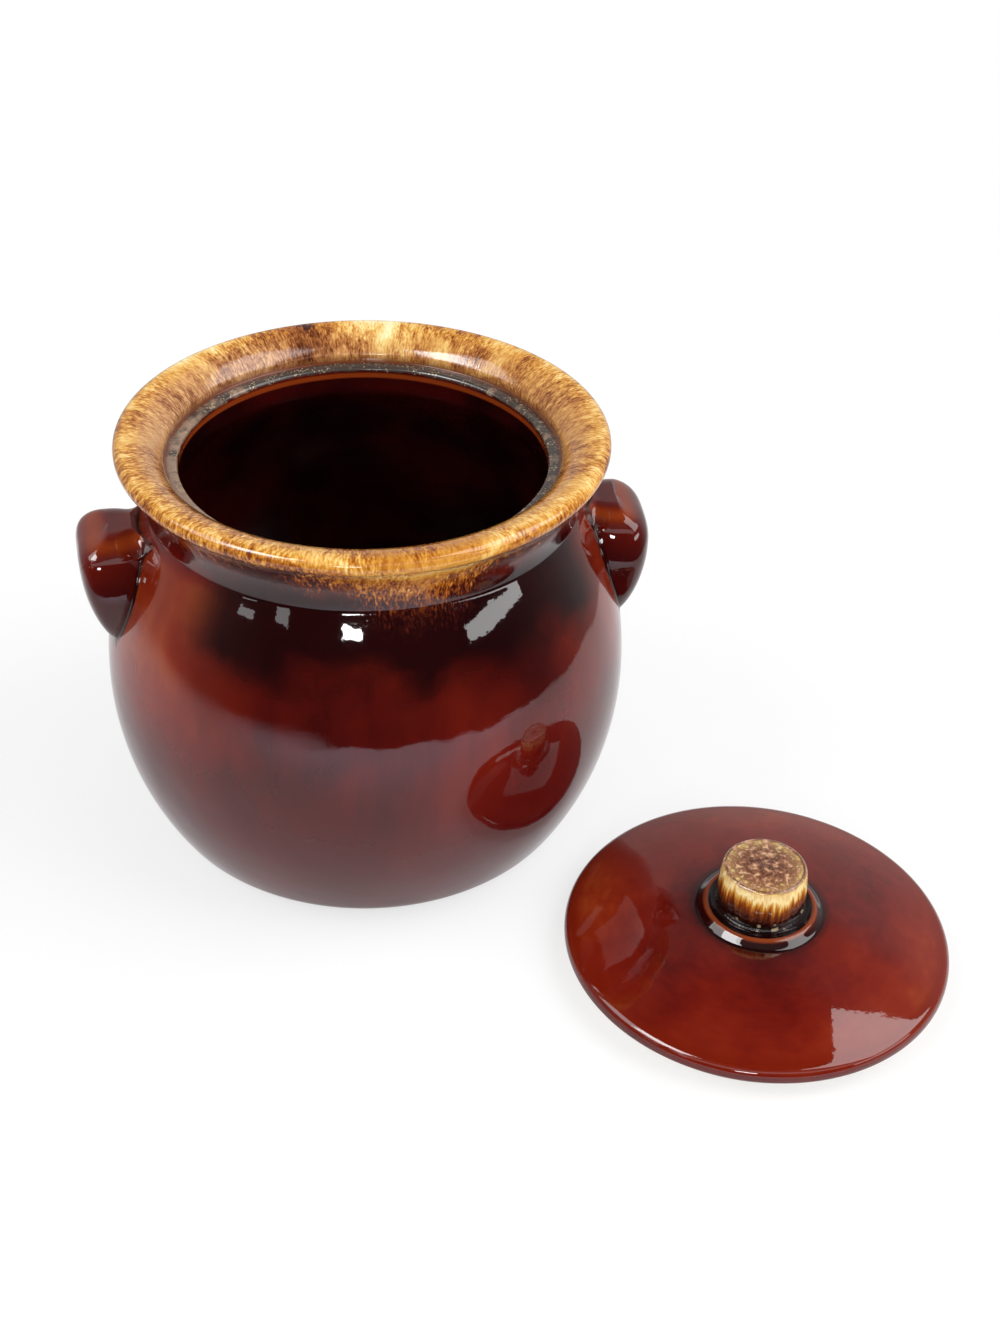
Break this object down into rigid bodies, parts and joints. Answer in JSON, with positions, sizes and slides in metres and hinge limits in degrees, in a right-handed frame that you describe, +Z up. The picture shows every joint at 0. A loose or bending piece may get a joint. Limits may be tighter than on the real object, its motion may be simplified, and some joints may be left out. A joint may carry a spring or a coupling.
{
  "type": "bean pot with lift-off lid",
  "caption": "Round-bellied stoneware bean pot with a flared rim, solid lug handles and a lift-off domed lid with a knob, lying beside it.",
  "frame": {"origin": "centre of the pot's foot, on the table", "axes": "+Z up along the pot's axis; the lug handles stand out near +X and -X; the front, where the lid lies to one side, is towards -Y"},
  "size_m": [0.2731, 0.2573, 0.1465],
  "materials": {
    "pot_glaze": "high-gloss red-brown glaze, with a tan and amber drip glaze on the rim and a bare stoneware foot",
    "handle_glaze": "high-gloss red-brown glaze",
    "lid_glaze": "high-gloss red-brown glaze, more orange where it is thin at the edge, with a bare stoneware ring below",
    "knob_glaze": "glossy ivory glaze running into amber and brown drips"
  },
  "bodies": {
    "pot": {"pot_body": "pot_glaze", "left_handle": "handle_glaze", "right_handle": "handle_glaze"},
    "lid": {"lid_plate": "lid_glaze", "lid_knob": "knob_glaze"}
  },
  "joints": [
    {"name": "lid_lift", "type": "slide", "parent": "pot", "child": "lid", "axis": [0, 0, 1], "range_m": [0, 0.165]}
  ]
}
